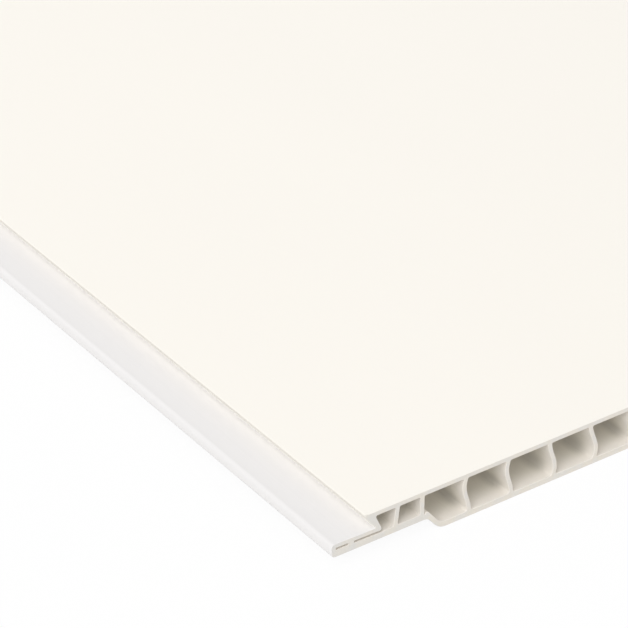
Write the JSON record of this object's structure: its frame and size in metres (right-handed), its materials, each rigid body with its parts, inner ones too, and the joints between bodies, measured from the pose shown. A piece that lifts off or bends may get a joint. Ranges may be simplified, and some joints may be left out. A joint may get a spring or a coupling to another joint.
{
  "type": "pvc wall panel",
  "caption": "Hollow extruded plastic wall panel, cream face up, with a tongue along one long edge and a groove with a nailing flange along the other.",
  "frame": {"origin": "centre of the back, at the bottom of the panel's box: half way along the length and half way from the tongue's tip to the flange's end", "axes": "+X across the width from the tongue to the groove, +Y along the length, +Z out of the decorative face"},
  "size_m": [0.2666, 2.7, 0.008],
  "materials": {
    "pvc": "satin"
  },
  "bodies": {
    "root": {"panel": "pvc"}
  },
  "joints": []
}
